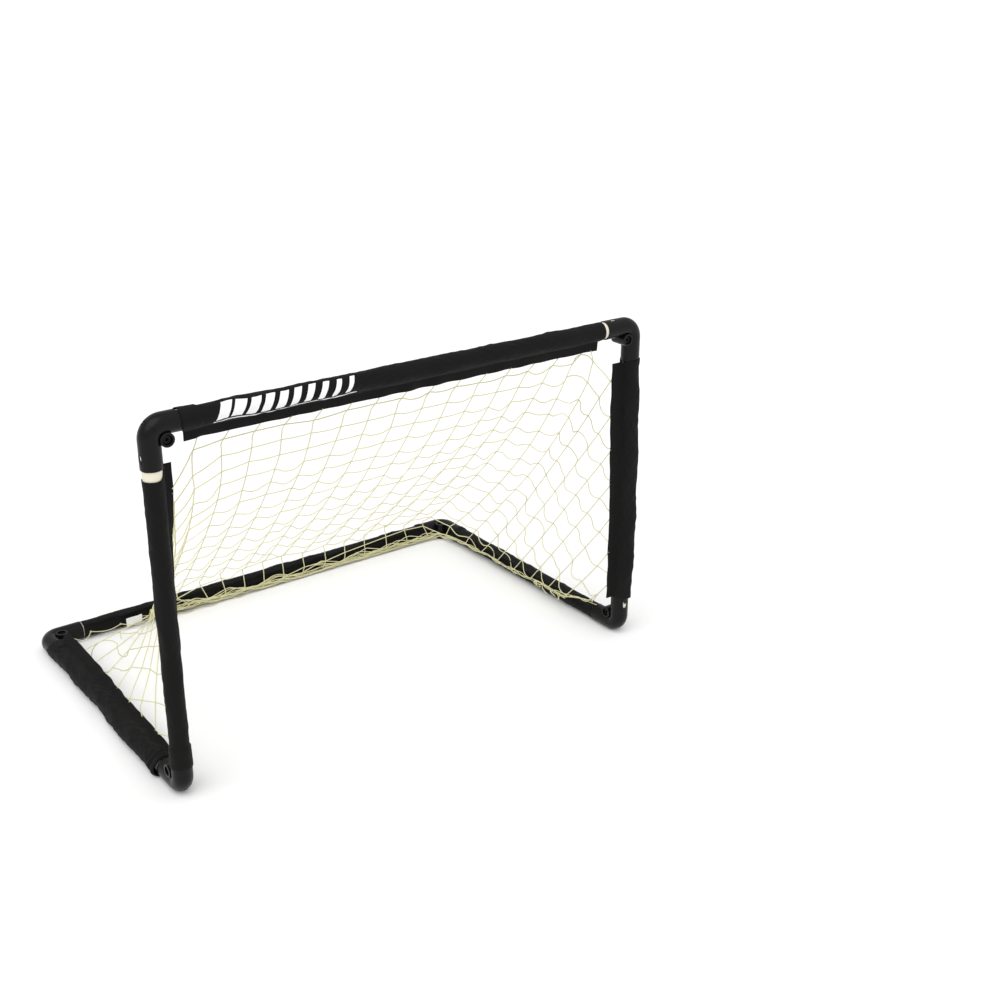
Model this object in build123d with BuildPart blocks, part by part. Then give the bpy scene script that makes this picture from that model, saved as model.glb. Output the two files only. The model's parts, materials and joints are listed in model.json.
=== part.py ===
"""Folding garden goal: six tubes, six folding corners, fabric sleeves and a net.

Frame: +Z up, mouth towards -Y, origin on the ground under the middle of the goal.
The base (rear bar and side bars) lies on the ground. The front frame (crossbar and
posts) stands on it and folds back flat over it about the pins of the two front corners.
"""
import os
from math import cos, radians, sin

from build123d import *

# overall size
WIDTH = 900.0
HEIGHT = 600.0
DEPTH = 600.0

# tubes
TUBE_OD = 28.0
TUBE_WALL = 1.5

# moulded corner, two halves that meet on a 45 degree mitre
CORNER_OD = 32.0
BEND_RADIUS = 20.0          # the bend is concentric with the hinge pin
ARM_LENGTH = 62.0           # from the corner of the centrelines to the socket mouth
SOCKET_DEPTH = 28.0
SOCKET_CLEARANCE = 0.05
BEND_BORE = 24.0
MITRE_GAP = 0.3
MOUTH_CHAMFER = 1.0

# hinge knuckle inside the bend
KNUCKLE_OD = 21.0
KNUCKLE_LENGTH = CORNER_OD
CENTRE_LUG_LENGTH = 15.8
LUG_GAP = 0.3
RELIEF_GAP = 0.45
RECESS_OD = 14.5
RECESS_DEPTH = 5.0

# hollow rivet that is the hinge pin
PIN_OD = 8.0
PIN_BORE = 5.0
PIN_CLEARANCE = 0.05
HEAD_OD = 12.4
HEAD_THICKNESS = 2.0
HEAD_GAP = 0.1

# snap window on the outer side of each arm
WINDOW_WIDTH = 9.4
WINDOW_START = 38.0
WINDOW_END = 51.5
TONGUE_WIDTH = 4.4
TONGUE_LENGTH = 5.5

# thumb notch on the outside of the mitre
NOTCH_LENGTH = 7.0
NOTCH_WIDTH = 5.0
NOTCH_DEPTH = 1.2

# fabric sleeves: a shell round the tube and a flat sewn fin for the net
SLEEVE_ID = 28.6
SLEEVE_OD = 31.6
FIN_WIDTH = 15.0
FIN_THICKNESS = 1.6
SLEEVE_GAP = 0.6
BASE_FIN_TILT = 45.0

# net
NET_THICKNESS = 0.8
GATHER_OD = 9.0
BUNCH_X = -241.0
TIE_OD = 15.0
TIE_LENGTH = 12.0
TAG_SIZE = (28.0, 1.0, 14.0)
SOFT_GAP = 0.5

# derived
RADIUS = CORNER_OD / 2
HALF_WIDTH = WIDTH / 2 - RADIUS
HALF_DEPTH = DEPTH / 2 - RADIUS
TOP = HEIGHT - RADIUS
BOTTOM = RADIUS
SHOULDER = ARM_LENGTH - SOCKET_DEPTH
RELIEF_RADIUS = KNUCKLE_OD / 2 + RELIEF_GAP
HALF_LUG = CENTRE_LUG_LENGTH / 2

RIGHT, LEFT = Vector(1, 0, 0), Vector(-1, 0, 0)
BACK, FRONT = Vector(0, 1, 0), Vector(0, -1, 0)
UP, DOWN = Vector(0, 0, 1), Vector(0, 0, -1)

os.makedirs("parts", exist_ok=True)


def keep(part, name):
    """Label a finished piece and write it as the node of that name."""
    part.label = name
    export_step(part, f"parts/{name}.step")


# ---- corner halves, modelled with the arm along +X and the pin along Z at (R, R) ----
PIN_AT = (BEND_RADIUS, BEND_RADIUS)


def half_path():
    """Centreline of one half: from the mouth along the arm to the mitre."""
    Line((ARM_LENGTH, 0), (BEND_RADIUS, 0))
    CenterArc(PIN_AT, BEND_RADIUS, 270, -45)


def corner_half(has_centre_lug):
    """One half of a folding corner, with the centre lug or with the two outer lugs."""
    mouth = Plane(origin=(ARM_LENGTH, 0, 0), z_dir=(-1, 0, 0))
    mitre = Plane(origin=(0, 0, 0), z_dir=(1, -1, 0)).offset(MITRE_GAP / 2)
    with BuildPart() as half:
        with BuildLine():
            half_path()
        with BuildSketch(mouth):
            Circle(RADIUS)
        sweep()
        chamfer(half.edges().group_by(Axis.X)[-1], MOUTH_CHAMFER)
        with BuildLine():
            half_path()
        with BuildSketch(mouth):
            Circle(BEND_BORE / 2)
        sweep(mode=Mode.SUBTRACT)
        with BuildSketch(mouth):
            Circle(TUBE_OD / 2 + SOCKET_CLEARANCE)
        extrude(amount=SOCKET_DEPTH, mode=Mode.SUBTRACT)
        split(bisect_by=mitre)

        # room for the other half's lugs, then this half's own lugs
        outer_spans = [(HALF_LUG + LUG_GAP, RADIUS), (-RADIUS, -HALF_LUG - LUG_GAP)]
        outer_room = [(HALF_LUG, RADIUS + 1), (-RADIUS - 1, -HALF_LUG)]
        centre_span = [(-HALF_LUG, HALF_LUG)]
        centre_room = [(-HALF_LUG - LUG_GAP, HALF_LUG + LUG_GAP)]
        rooms = outer_room if has_centre_lug else centre_room
        lugs = centre_span if has_centre_lug else outer_spans
        for low, high in rooms:
            with BuildSketch(Plane.XY.offset(low)):
                with Locations(PIN_AT):
                    Circle(RELIEF_RADIUS)
            extrude(amount=high - low, mode=Mode.SUBTRACT)
        for low, high in lugs:
            with BuildSketch(Plane.XY.offset(low)):
                with Locations(PIN_AT):
                    Circle(KNUCKLE_OD / 2)
            extrude(amount=high - low)

        # pin hole, and the recess in each end of the knuckle
        with BuildSketch(Plane.XY.offset(-RADIUS)):
            with Locations(PIN_AT):
                Circle(PIN_OD / 2 + PIN_CLEARANCE)
        extrude(amount=KNUCKLE_LENGTH, mode=Mode.SUBTRACT)
        if not has_centre_lug:
            for low in (-RADIUS, RADIUS - RECESS_DEPTH):
                with BuildSketch(Plane.XY.offset(low)):
                    with Locations(PIN_AT):
                        Circle(RECESS_OD / 2)
                extrude(amount=RECESS_DEPTH, mode=Mode.SUBTRACT)

        # window with a snap tongue that points at the bend
        outside = Plane(origin=(0, -RADIUS - 1, 0), x_dir=(1, 0, 0), z_dir=(0, 1, 0))
        round_end = WINDOW_START + WINDOW_WIDTH / 2
        with BuildSketch(outside):
            with Locations((round_end, 0)):
                Circle(WINDOW_WIDTH / 2)
            with Locations(((round_end + WINDOW_END) / 2, 0)):
                Rectangle(WINDOW_END - round_end, WINDOW_WIDTH)
            with BuildLine():
                Polyline(
                    (WINDOW_END, -TONGUE_WIDTH / 2),
                    (WINDOW_END - TONGUE_LENGTH / 2, -TONGUE_WIDTH / 2),
                    (WINDOW_END - TONGUE_LENGTH, 0),
                    (WINDOW_END - TONGUE_LENGTH / 2, TONGUE_WIDTH / 2),
                    (WINDOW_END, TONGUE_WIDTH / 2),
                    close=True,
                )
            make_face(mode=Mode.SUBTRACT)
        extrude(amount=RADIUS / 2, mode=Mode.SUBTRACT)

        # thumb notch over the mitre
        reach = BEND_RADIUS - (BEND_RADIUS + RADIUS) * cos(radians(45))
        with Locations(Location((reach, reach, 0), (0, 0, 45))):
            Box(2 * NOTCH_DEPTH, NOTCH_LENGTH, NOTCH_WIDTH, mode=Mode.SUBTRACT)
    return half.part


fork_half = corner_half(has_centre_lug=False)
lug_half = corner_half(has_centre_lug=True)

with BuildPart() as pin:
    head_at = RADIUS - RECESS_DEPTH + HEAD_GAP
    with BuildSketch(Plane.XY.offset(-head_at)):
        Circle(PIN_OD / 2)
    extrude(amount=2 * head_at)
    for low in (head_at, -head_at - HEAD_THICKNESS):
        with BuildSketch(Plane.XY.offset(low)):
            Circle(HEAD_OD / 2)
        extrude(amount=HEAD_THICKNESS)
    rims = pin.edges().filter_by(GeomType.CIRCLE).group_by(Axis.Z)
    chamfer([rims[0].sort_by(SortBy.LENGTH)[-1], rims[-1].sort_by(SortBy.LENGTH)[-1]], 0.6)
    Hole(PIN_BORE / 2)

# name, corner of the centrelines, arm of the fork half, arm of the lug half
CORNERS = [
    ("top_left", (-HALF_WIDTH, -HALF_DEPTH, TOP), RIGHT, DOWN),
    ("top_right", (HALF_WIDTH, -HALF_DEPTH, TOP), LEFT, DOWN),
    ("front_left", (-HALF_WIDTH, -HALF_DEPTH, BOTTOM), UP, BACK),
    ("front_right", (HALF_WIDTH, -HALF_DEPTH, BOTTOM), UP, BACK),
    ("rear_left", (-HALF_WIDTH, HALF_DEPTH, BOTTOM), RIGHT, FRONT),
    ("rear_right", (HALF_WIDTH, HALF_DEPTH, BOTTOM), LEFT, FRONT),
]
for name, corner, fork_arm, lug_arm in CORNERS:
    fork_place = Plane(origin=corner, x_dir=fork_arm, z_dir=fork_arm.cross(lug_arm))
    lug_place = Plane(origin=corner, x_dir=lug_arm, z_dir=lug_arm.cross(fork_arm))
    pin_place = fork_place.location * Location((*PIN_AT, 0))
    keep(fork_half.moved(fork_place.location), f"{name}_corner_fork")
    keep(lug_half.moved(lug_place.location), f"{name}_corner_lug")
    keep(pin.part.moved(pin_place), f"{name}_hinge_pin")


# ---- tubes and sleeves: name, one corner, direction, centreline length, fin direction ----
TILT = radians(BASE_FIN_TILT)
BARS = [
    ("crossbar", (-HALF_WIDTH, -HALF_DEPTH, TOP), RIGHT, 2 * HALF_WIDTH, DOWN, 0, 6),
    ("left_post", (-HALF_WIDTH, -HALF_DEPTH, TOP), DOWN, TOP - BOTTOM, RIGHT, 14, 0),
    ("right_post", (HALF_WIDTH, -HALF_DEPTH, TOP), DOWN, TOP - BOTTOM, LEFT, 0, 0),
    ("rear_bar", (-HALF_WIDTH, HALF_DEPTH, BOTTOM), RIGHT, 2 * HALF_WIDTH,
     Vector(0, -cos(TILT), sin(TILT)), 6, 0),
    ("left_side_bar", (-HALF_WIDTH, HALF_DEPTH, BOTTOM), FRONT, 2 * HALF_DEPTH,
     Vector(cos(TILT), 0, sin(TILT)), 0, 3),
    ("right_side_bar", (HALF_WIDTH, HALF_DEPTH, BOTTOM), FRONT, 2 * HALF_DEPTH,
     Vector(-cos(TILT), 0, sin(TILT)), 0, 0),
]


def tube(length):
    """Straight tube along +Z from the origin."""
    with BuildPart() as pipe:
        with BuildSketch():
            Circle(TUBE_OD / 2)
            Circle(TUBE_OD / 2 - TUBE_WALL, mode=Mode.SUBTRACT)
        extrude(amount=length)
    return pipe.part


def sleeve(length):
    """Fabric sleeve along +Z from the origin, with its fin along +X."""
    fin_reach = SLEEVE_OD / 2 + FIN_WIDTH
    with BuildPart() as cover:
        with BuildSketch():
            Circle(SLEEVE_OD / 2)
            with Locations((fin_reach / 2, 0)):
                Rectangle(fin_reach, FIN_THICKNESS)
            Circle(SLEEVE_ID / 2, mode=Mode.SUBTRACT)
        extrude(amount=length)
    return cover.part


for name, start, along, length, fin, gap_start, gap_end in BARS:
    reach = SHOULDER + SLEEVE_GAP / 2
    tube_place = Plane(origin=Vector(start) + along * reach, x_dir=fin, z_dir=along)
    keep(tube(length - 2 * reach).moved(tube_place.location), f"{name}_tube")
    mouth = ARM_LENGTH + SLEEVE_GAP
    sleeve_place = Plane(
        origin=Vector(start) + along * (mouth + gap_start), x_dir=fin, z_dir=along
    )
    sleeve_length = length - 2 * mouth - gap_start - gap_end
    keep(sleeve(sleeve_length).moved(sleeve_place.location), f"{name}_sleeve")


# ---- net: flat closed panels, the gathered edge, its tie and the tag ----
FIN_TIP = SLEEVE_OD / 2 + FIN_WIDTH
NET_X = HALF_WIDTH - FIN_TIP - NET_THICKNESS
FRONT_Y = -HALF_DEPTH
NET_TOP = TOP - FIN_TIP - NET_THICKNESS
BACK_FOOT = (HALF_DEPTH - 34, BOTTOM + 16)
SIDE_FOOT = BOTTOM + 20


def panel(*triangles):
    """A net panel of flat triangles, as thick as the net."""
    with BuildPart() as slab:
        for corners in triangles:
            a, b, c = (Vector(*corner) for corner in corners)
            flat = Plane(origin=a, x_dir=b - a, z_dir=(b - a).cross(c - a))
            outline = [flat.to_local_coords(corner) for corner in (a, b, c)]
            with BuildSketch(flat):
                with BuildLine():
                    Polyline(*[(p.X, p.Y) for p in outline], close=True)
                make_face()
            extrude(amount=NET_THICKNESS / 2, both=True)
    return slab.part


top_left = (-NET_X, FRONT_Y + 3, NET_TOP)
top_right = (NET_X, FRONT_Y + 3, NET_TOP)
foot_left = (BUNCH_X - 10, *BACK_FOOT)
foot_right = (NET_X, *BACK_FOOT)
keep(panel((top_left, top_right, foot_right), (top_left, foot_right, foot_left)), "net_back")

bunch_end = (BUNCH_X - 18, HALF_DEPTH - 44, BOTTOM + 6)
left_top = (-NET_X, FRONT_Y + 12, NET_TOP - 30)
left_front = (-NET_X, FRONT_Y + 12, SIDE_FOOT)
left_rear = (-NET_X + 5, HALF_DEPTH - 70, SIDE_FOOT)
keep(panel((left_top, left_front, bunch_end), (left_front, left_rear, bunch_end)), "net_left")

right_top = (NET_X, FRONT_Y + 12, NET_TOP - 30)
right_front = (NET_X, FRONT_Y + 12, SIDE_FOOT)
right_rear = (NET_X, HALF_DEPTH - 60, SIDE_FOOT)
keep(panel((right_top, right_front, right_rear)), "net_right")

gather_y = HALF_DEPTH - SLEEVE_OD / 2 - GATHER_OD / 2 - SOFT_GAP
gather_x = HALF_WIDTH - SLEEVE_OD / 2 - GATHER_OD / 2 - SOFT_GAP
gather_z = GATHER_OD / 2 + SOFT_GAP
gather_start = Vector(BUNCH_X + TIE_LENGTH / 2, gather_y, gather_z)
with BuildPart() as gather:
    with BuildLine():
        FilletPolyline(
            gather_start,
            (gather_x - 35, gather_y, gather_z),
            (gather_x, gather_y - 45, gather_z),
            (gather_x, FRONT_Y + 95, gather_z),
            radius=40,
        )
    with BuildSketch(Plane(origin=gather_start, z_dir=RIGHT)):
        Circle(GATHER_OD / 2)
    sweep()
keep(gather.part, "net_gather")

tie_y = HALF_DEPTH - SLEEVE_OD / 2 - TIE_OD / 2 - SOFT_GAP
tie_plane = Plane(origin=(BUNCH_X - TIE_LENGTH / 2, tie_y, TIE_OD / 2 + SOFT_GAP), z_dir=RIGHT)
with BuildPart() as tie:
    with BuildSketch(tie_plane):
        Circle(TIE_OD / 2)
    extrude(amount=TIE_LENGTH)
    chamfer(tie.edges().filter_by(GeomType.CIRCLE), 2)
keep(tie.part, "net_tie")

tag_at = (BUNCH_X - TIE_LENGTH - TAG_SIZE[0] / 2 - 6, gather_y - 1, TAG_SIZE[2] / 2 + 5)
with BuildPart() as tag:
    with Locations(tag_at):
        Box(*TAG_SIZE)
keep(tag.part, "care_tag")
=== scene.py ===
"""Looks of the folding garden goal: moulded corners, wrinkled fabric sleeves and a knotted net.

The CAD corners, pins and tubes are kept and get better materials. Each CAD sleeve is replaced
by a fabric sleeve, and the CAD net plates by a net of knotted twine that is hung by a small
string simulation. Lengths are in metres, in the CAD's frame.
"""
import json
from math import cos, pi, radians, sin, tau

import bpy
import numpy as np
from mathutils import Matrix, Vector


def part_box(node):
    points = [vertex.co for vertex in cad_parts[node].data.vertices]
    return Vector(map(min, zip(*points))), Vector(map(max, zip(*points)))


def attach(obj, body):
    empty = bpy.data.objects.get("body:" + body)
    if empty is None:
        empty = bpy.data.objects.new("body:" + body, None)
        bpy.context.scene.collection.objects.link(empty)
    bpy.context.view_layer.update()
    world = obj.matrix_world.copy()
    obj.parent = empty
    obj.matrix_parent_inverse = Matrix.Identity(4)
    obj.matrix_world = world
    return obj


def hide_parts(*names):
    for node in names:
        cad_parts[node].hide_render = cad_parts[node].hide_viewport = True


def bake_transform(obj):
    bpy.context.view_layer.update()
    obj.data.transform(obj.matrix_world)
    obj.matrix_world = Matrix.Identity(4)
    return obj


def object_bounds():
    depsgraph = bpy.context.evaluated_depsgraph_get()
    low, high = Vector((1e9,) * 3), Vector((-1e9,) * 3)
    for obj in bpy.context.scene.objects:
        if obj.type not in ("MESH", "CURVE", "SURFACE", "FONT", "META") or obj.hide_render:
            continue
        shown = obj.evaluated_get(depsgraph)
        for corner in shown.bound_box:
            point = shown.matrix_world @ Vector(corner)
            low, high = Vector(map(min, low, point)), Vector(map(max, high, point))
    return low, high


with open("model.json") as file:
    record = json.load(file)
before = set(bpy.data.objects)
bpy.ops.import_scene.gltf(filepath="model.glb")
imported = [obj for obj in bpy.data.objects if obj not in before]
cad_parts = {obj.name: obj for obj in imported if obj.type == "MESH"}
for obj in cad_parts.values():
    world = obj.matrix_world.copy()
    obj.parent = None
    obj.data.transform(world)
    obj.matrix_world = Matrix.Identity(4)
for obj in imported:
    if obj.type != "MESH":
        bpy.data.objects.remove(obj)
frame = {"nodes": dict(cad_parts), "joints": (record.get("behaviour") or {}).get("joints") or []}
cad_low, cad_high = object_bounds()


# ---------------- places, read from the frame

def middle(node):
    low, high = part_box(node)
    return (low + high) / 2


def size(node):
    low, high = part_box(node)
    return high - low


SIDE = middle("right_post_tube").x          # centreline of the right-hand tubes
FRONT = middle("crossbar_tube").y
REAR = middle("rear_bar_tube").y
TOP = middle("crossbar_tube").z
BOTTOM = middle("rear_bar_tube").z
TUBE_R = size("crossbar_tube").z / 2
CORNER_R = cad_high.z - TOP
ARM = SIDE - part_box("top_right_corner_fork")[0].x    # corner of the centrelines to the socket mouth
HINGE = Vector(frame["joints"][0]["pos_m"])

CORNERS = {
    "top_left": Vector((-SIDE, FRONT, TOP)),
    "top_right": Vector((SIDE, FRONT, TOP)),
    "front_left": Vector((-SIDE, FRONT, BOTTOM)),
    "front_right": Vector((SIDE, FRONT, BOTTOM)),
    "rear_left": Vector((-SIDE, REAR, BOTTOM)),
    "rear_right": Vector((SIDE, REAR, BOTTOM)),
}

RIGHT, BACK, UP = Vector((1, 0, 0)), Vector((0, 1, 0)), Vector((0, 0, 1))


def smooth(x):
    x = np.clip(x, 0, 1)
    return x * x * (3 - 2 * x)


# ---------------- node helpers for the materials

WEAVE = 0.00062               # width of two threads of the nylon
TWINE_LAY = 0.0013            # length of one turn of the twine's three strands
SATIN_WARP, SATIN_WEFT = 0.0004, 0.0008

# the printed band on the crossbar, on its front: V along from the first corner, U round from the fin
PRINT_ALONG = (0.090, 0.318)
PRINT_ROUND = (0.027, 0.058)
PRINT_BARS = 10
PRINT_LEAN = 0.5              # how far a bar leans, as a share of its height
PRINT_LINE = 0.0024           # width of the thin line
PRINT_FOOT = 0.0055           # from the line's lower edge to the bars

CREAM_DARK, CREAM_PALE = (0.72, 0.66, 0.52, 1), (0.80, 0.75, 0.62, 1)
TWINE_DARK, TWINE_PALE = (0.56, 0.53, 0.25, 1), (0.86, 0.84, 0.55, 1)
SATIN_DARK, WHITE = (0.74, 0.74, 0.75, 1), (0.86, 0.86, 0.86, 1)


class Shader:
    """A Principled material whose nodes are added by short calls."""

    def __init__(self, name):
        self.material = bpy.data.materials.new(name)
        self.material.use_nodes = True
        self.tree = self.material.node_tree
        self.bsdf = self.tree.nodes["Principled BSDF"]

    def node(self, kind, inputs=(), **settings):
        made = self.tree.nodes.new(kind)
        for key, value in settings.items():
            setattr(made, key, value)
        for key, value in dict(inputs).items():
            self.put(made.inputs[key], value)
        return made

    def put(self, socket, value):
        if isinstance(value, bpy.types.NodeSocket):
            self.tree.links.new(value, socket)
        else:
            socket.default_value = value

    def math(self, operation, a, b=0.0, c=0.0):
        return self.node("ShaderNodeMath", {0: a, 1: b, 2: c}, operation=operation).outputs[0]

    def between(self, value, low, high):
        above, below = self.math("GREATER_THAN", value, low), self.math("LESS_THAN", value, high)
        return self.math("MULTIPLY", above, below)

    def ramp(self, value, low, high, to_low=0.0, to_high=1.0):
        limits = {"From Min": low, "From Max": high, "To Min": to_low, "To Max": to_high}
        return self.node("ShaderNodeMapRange", {"Value": value, **limits},
                         interpolation_type="SMOOTHSTEP").outputs[0]

    def stretched(self, vector, scale):
        return self.node("ShaderNodeMapping", {"Vector": vector, "Scale": scale}).outputs[0]

    def noise(self, vector, scale, detail=2.0, roughness=0.5):
        return self.node("ShaderNodeTexNoise", {"Vector": vector, "Scale": scale, "Detail": detail,
                                                "Roughness": roughness}).outputs["Fac"]

    def mix(self, factor, a, b):
        made = self.node("ShaderNodeMix", data_type="RGBA")
        self.put(made.inputs[0], factor)
        self.put(made.inputs[6], a)
        self.put(made.inputs[7], b)
        return made.outputs[2]

    def split(self, vector):
        made = self.node("ShaderNodeSeparateXYZ", {"Vector": vector})
        return made.outputs[0], made.outputs[1], made.outputs[2]

    def bump(self, height, distance, strength=1.0, under=None):
        made = self.node("ShaderNodeBump", {"Height": height, "Distance": distance,
                                            "Strength": strength})
        if under:
            self.put(made.inputs["Normal"], under)
        return made.outputs[0]

    def set(self, **inputs):
        for key, value in inputs.items():
            self.put(self.bsdf.inputs[key.replace("_", " ")], value)


def grey(value, warmth=0.0):
    return (value * (1 + warmth), value, value * (1 - warmth), 1.0)


def moulded(name, value, roughness, grain=900, lumps=16):
    """Injection-moulded plastic: fine grain, slow unevenness, slightly scuffed."""
    s = Shader(name)
    at = s.node("ShaderNodeTexCoord").outputs["Object"]
    fine = s.noise(at, grain, 2)
    slow = s.noise(at, lumps, 3)
    scuff = s.ramp(s.noise(at, 140, 6, 0.75), 0.55, 0.8)
    s.set(Base_Color=s.mix(slow, grey(value * 0.75), grey(value * 1.3, 0.02)),
          Roughness=s.math("ADD", s.math("MULTIPLY_ADD", slow, 0.12, roughness - 0.06),
                           s.math("MULTIPLY", scuff, 0.08)),
          Specular_IOR_Level=0.16,
          Normal=s.bump(slow, 0.0006, 0.5, s.bump(fine, 0.00003, 0.6)))
    return s.material


def pipe(name):
    """Cream extruded pipe, with faint draw lines along it."""
    s = Shader(name)
    at = s.node("ShaderNodeTexCoord").outputs["Object"]
    slow = s.noise(at, 30, 3)
    lines = s.noise(s.stretched(at, (40, 40, 900)), 1, 2)
    s.set(Base_Color=s.mix(slow, CREAM_DARK, CREAM_PALE),
          Roughness=s.math("MULTIPLY_ADD", lines, 0.15, 0.34),
          Normal=s.bump(lines, 0.00004, 0.5))
    return s.material


def woven(name, value, printed=None):
    """Black oxford nylon. UV is in metres: U round the sleeve and 0 at the fin, V along it.
    printed gives the mask of a print on it."""
    s = Shader(name)
    u, v, _ = s.split(s.node("ShaderNodeUVMap").outputs[0])
    pitch = tau / WEAVE
    warp, weft = s.math("MULTIPLY", u, pitch), s.math("MULTIPLY", v, pitch)
    over = s.math("MULTIPLY", s.math("SINE", warp), s.math("SINE", weft))
    thread = s.math("ADD", s.math("MULTIPLY", over, 0.5), 0.5)
    at = s.node("ShaderNodeCombineXYZ", {0: u, 1: v}).outputs[0]
    slub = s.noise(s.stretched(at, (60, 1400, 1)), 1, 2)
    creases = s.noise(s.stretched(at, (46, 17, 1)), 1, 4, 0.62)
    dust = s.noise(at, 9, 4, 0.6)
    shade = s.math("ADD", s.math("MULTIPLY", thread, 0.35), s.math("MULTIPLY", slub, 0.5))
    colour = s.mix(shade, grey(value * 0.6, 0.03), grey(value * 1.35, 0.04))
    colour = s.mix(s.ramp(dust, 0.45, 0.8, 0.0, 0.35), colour, grey(value * 1.9, 0.05))
    roughness = s.math("MULTIPLY_ADD", thread, -0.12, 0.78)
    if printed:
        mask = printed(s, u, v)
        worn = s.math("MULTIPLY", mask, s.ramp(s.noise(at, 500, 3, 0.7), 0.22, 0.42, 0.72, 1.0))
        colour = s.mix(worn, colour, WHITE)
        roughness = s.math("MULTIPLY_ADD", mask, -0.2, roughness)
    s.set(Base_Color=colour, Roughness=roughness, Specular_IOR_Level=0.12,
          Sheen_Weight=0.02, Sheen_Roughness=0.45,
          Normal=s.bump(creases, 0.0012, 0.45, s.bump(thread, 0.00012, 0.7)))
    return s.material


def stripes(s, u, v):
    """A plain printed band of slanting bars, wide to narrow, with a thin line under them."""
    start, end = PRINT_ALONG
    low, high = PRINT_ROUND
    up = s.math("MULTIPLY", u, -1.0)
    leaning = s.math("SUBTRACT", s.math("SUBTRACT", v, start),
                     s.math("MULTIPLY", s.math("SUBTRACT", up, low), PRINT_LEAN))
    share = s.math("DIVIDE", leaning, end - start)
    cell = s.math("FRACT", s.math("MULTIPLY", share, PRINT_BARS))
    bar = s.math("LESS_THAN", cell, s.math("MULTIPLY_ADD", share, -0.5, 0.82))
    tall = s.between(up, low + PRINT_FOOT, high)
    line = s.between(up, low, low + PRINT_LINE)
    inside = s.between(share, 0.0, 1.0)
    return s.math("MULTIPLY", s.math("MAXIMUM", s.math("MULTIPLY", bar, tall), line), inside)


def twine(name):
    """Pale cream twine, with painted shade in the grooves between its strands. UV is in metres: V along the
    twine, U round it in turns.
    """
    s = Shader(name)
    u, v, _ = s.split(s.node("ShaderNodeUVMap").outputs[0])
    at = s.node("ShaderNodeTexCoord").outputs["Object"]
    lay = s.math("MULTIPLY_ADD", u, 3 * tau, s.math("MULTIPLY", v, tau / TWINE_LAY))
    strand = s.math("MULTIPLY_ADD", s.math("SINE", lay), 0.5, 0.5)
    slow = s.noise(at, 22, 3)
    # colour: darker in the grooves between the strands, which is painted shade, and slowly uneven, which is
    # the twine's own tone
    s.set(Base_Color=s.mix(s.math("MULTIPLY_ADD", strand, 0.45, s.math("MULTIPLY", slow, 0.5)),
                           TWINE_DARK, TWINE_PALE),
          Roughness=0.72, Sheen_Weight=0.2, Specular_IOR_Level=0.3,
          Normal=s.bump(strand, 0.0002, 0.7))
    return s.material


def label(name):
    """White satin label."""
    s = Shader(name)
    u, v, _ = s.split(s.node("ShaderNodeUVMap").outputs[0])
    weave = s.math("MULTIPLY", s.math("SINE", s.math("MULTIPLY", u, tau / SATIN_WARP)),
                   s.math("SINE", s.math("MULTIPLY", v, tau / SATIN_WEFT)))
    slow = s.noise(s.node("ShaderNodeTexCoord").outputs["Object"], 60, 3)
    s.set(Base_Color=s.mix(slow, SATIN_DARK, WHITE),
          Roughness=s.math("MULTIPLY_ADD", weave, 0.08, 0.5), Sheen_Weight=0.2,
          Normal=s.bump(weave, 0.00008, 0.5))
    return s.material


# ---------------- meshes

def mesh_piece(name, points, faces, uvs, material, body):
    """A smooth piece that rides on a body. uvs holds one pair per face corner."""
    mesh = bpy.data.meshes.new(name)
    mesh.from_pydata(points.tolist(), [], faces.tolist())
    mesh.uv_layers.new(name="UVMap").data.foreach_set("uv", uvs.astype(np.float32).ravel())
    mesh.polygons.foreach_set("use_smooth", np.ones(len(faces), bool))
    mesh.materials.append(material)
    mesh.update()
    piece = bpy.data.objects.new(name, mesh)
    bpy.context.scene.collection.objects.link(piece)
    if body:
        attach(piece, body)
    return piece


def grid_faces(rows, columns, closed, first=0):
    """Quads of a rows x columns grid of points; closed joins the last column to the first."""
    last = columns if closed else columns - 1
    i, j = np.meshgrid(np.arange(rows - 1), np.arange(last), indexing="ij")
    k = (j + 1) % columns
    quads = np.stack([i * columns + j, i * columns + k, (i + 1) * columns + k, (i + 1) * columns + j], -1)
    return quads.reshape(-1, 4) + first


def grid_uvs(u, v, closed):
    """UVs for grid_faces; u and v are (rows, columns), and u of a closed grid has one column more."""
    last = u.shape[1] - 1
    uv = np.stack([u, v], -1)
    corners = [uv[:-1, :last], uv[:-1, 1:], uv[1:, 1:], uv[1:, :last]]
    return np.stack(corners, 2).reshape(-1, 2)


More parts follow.
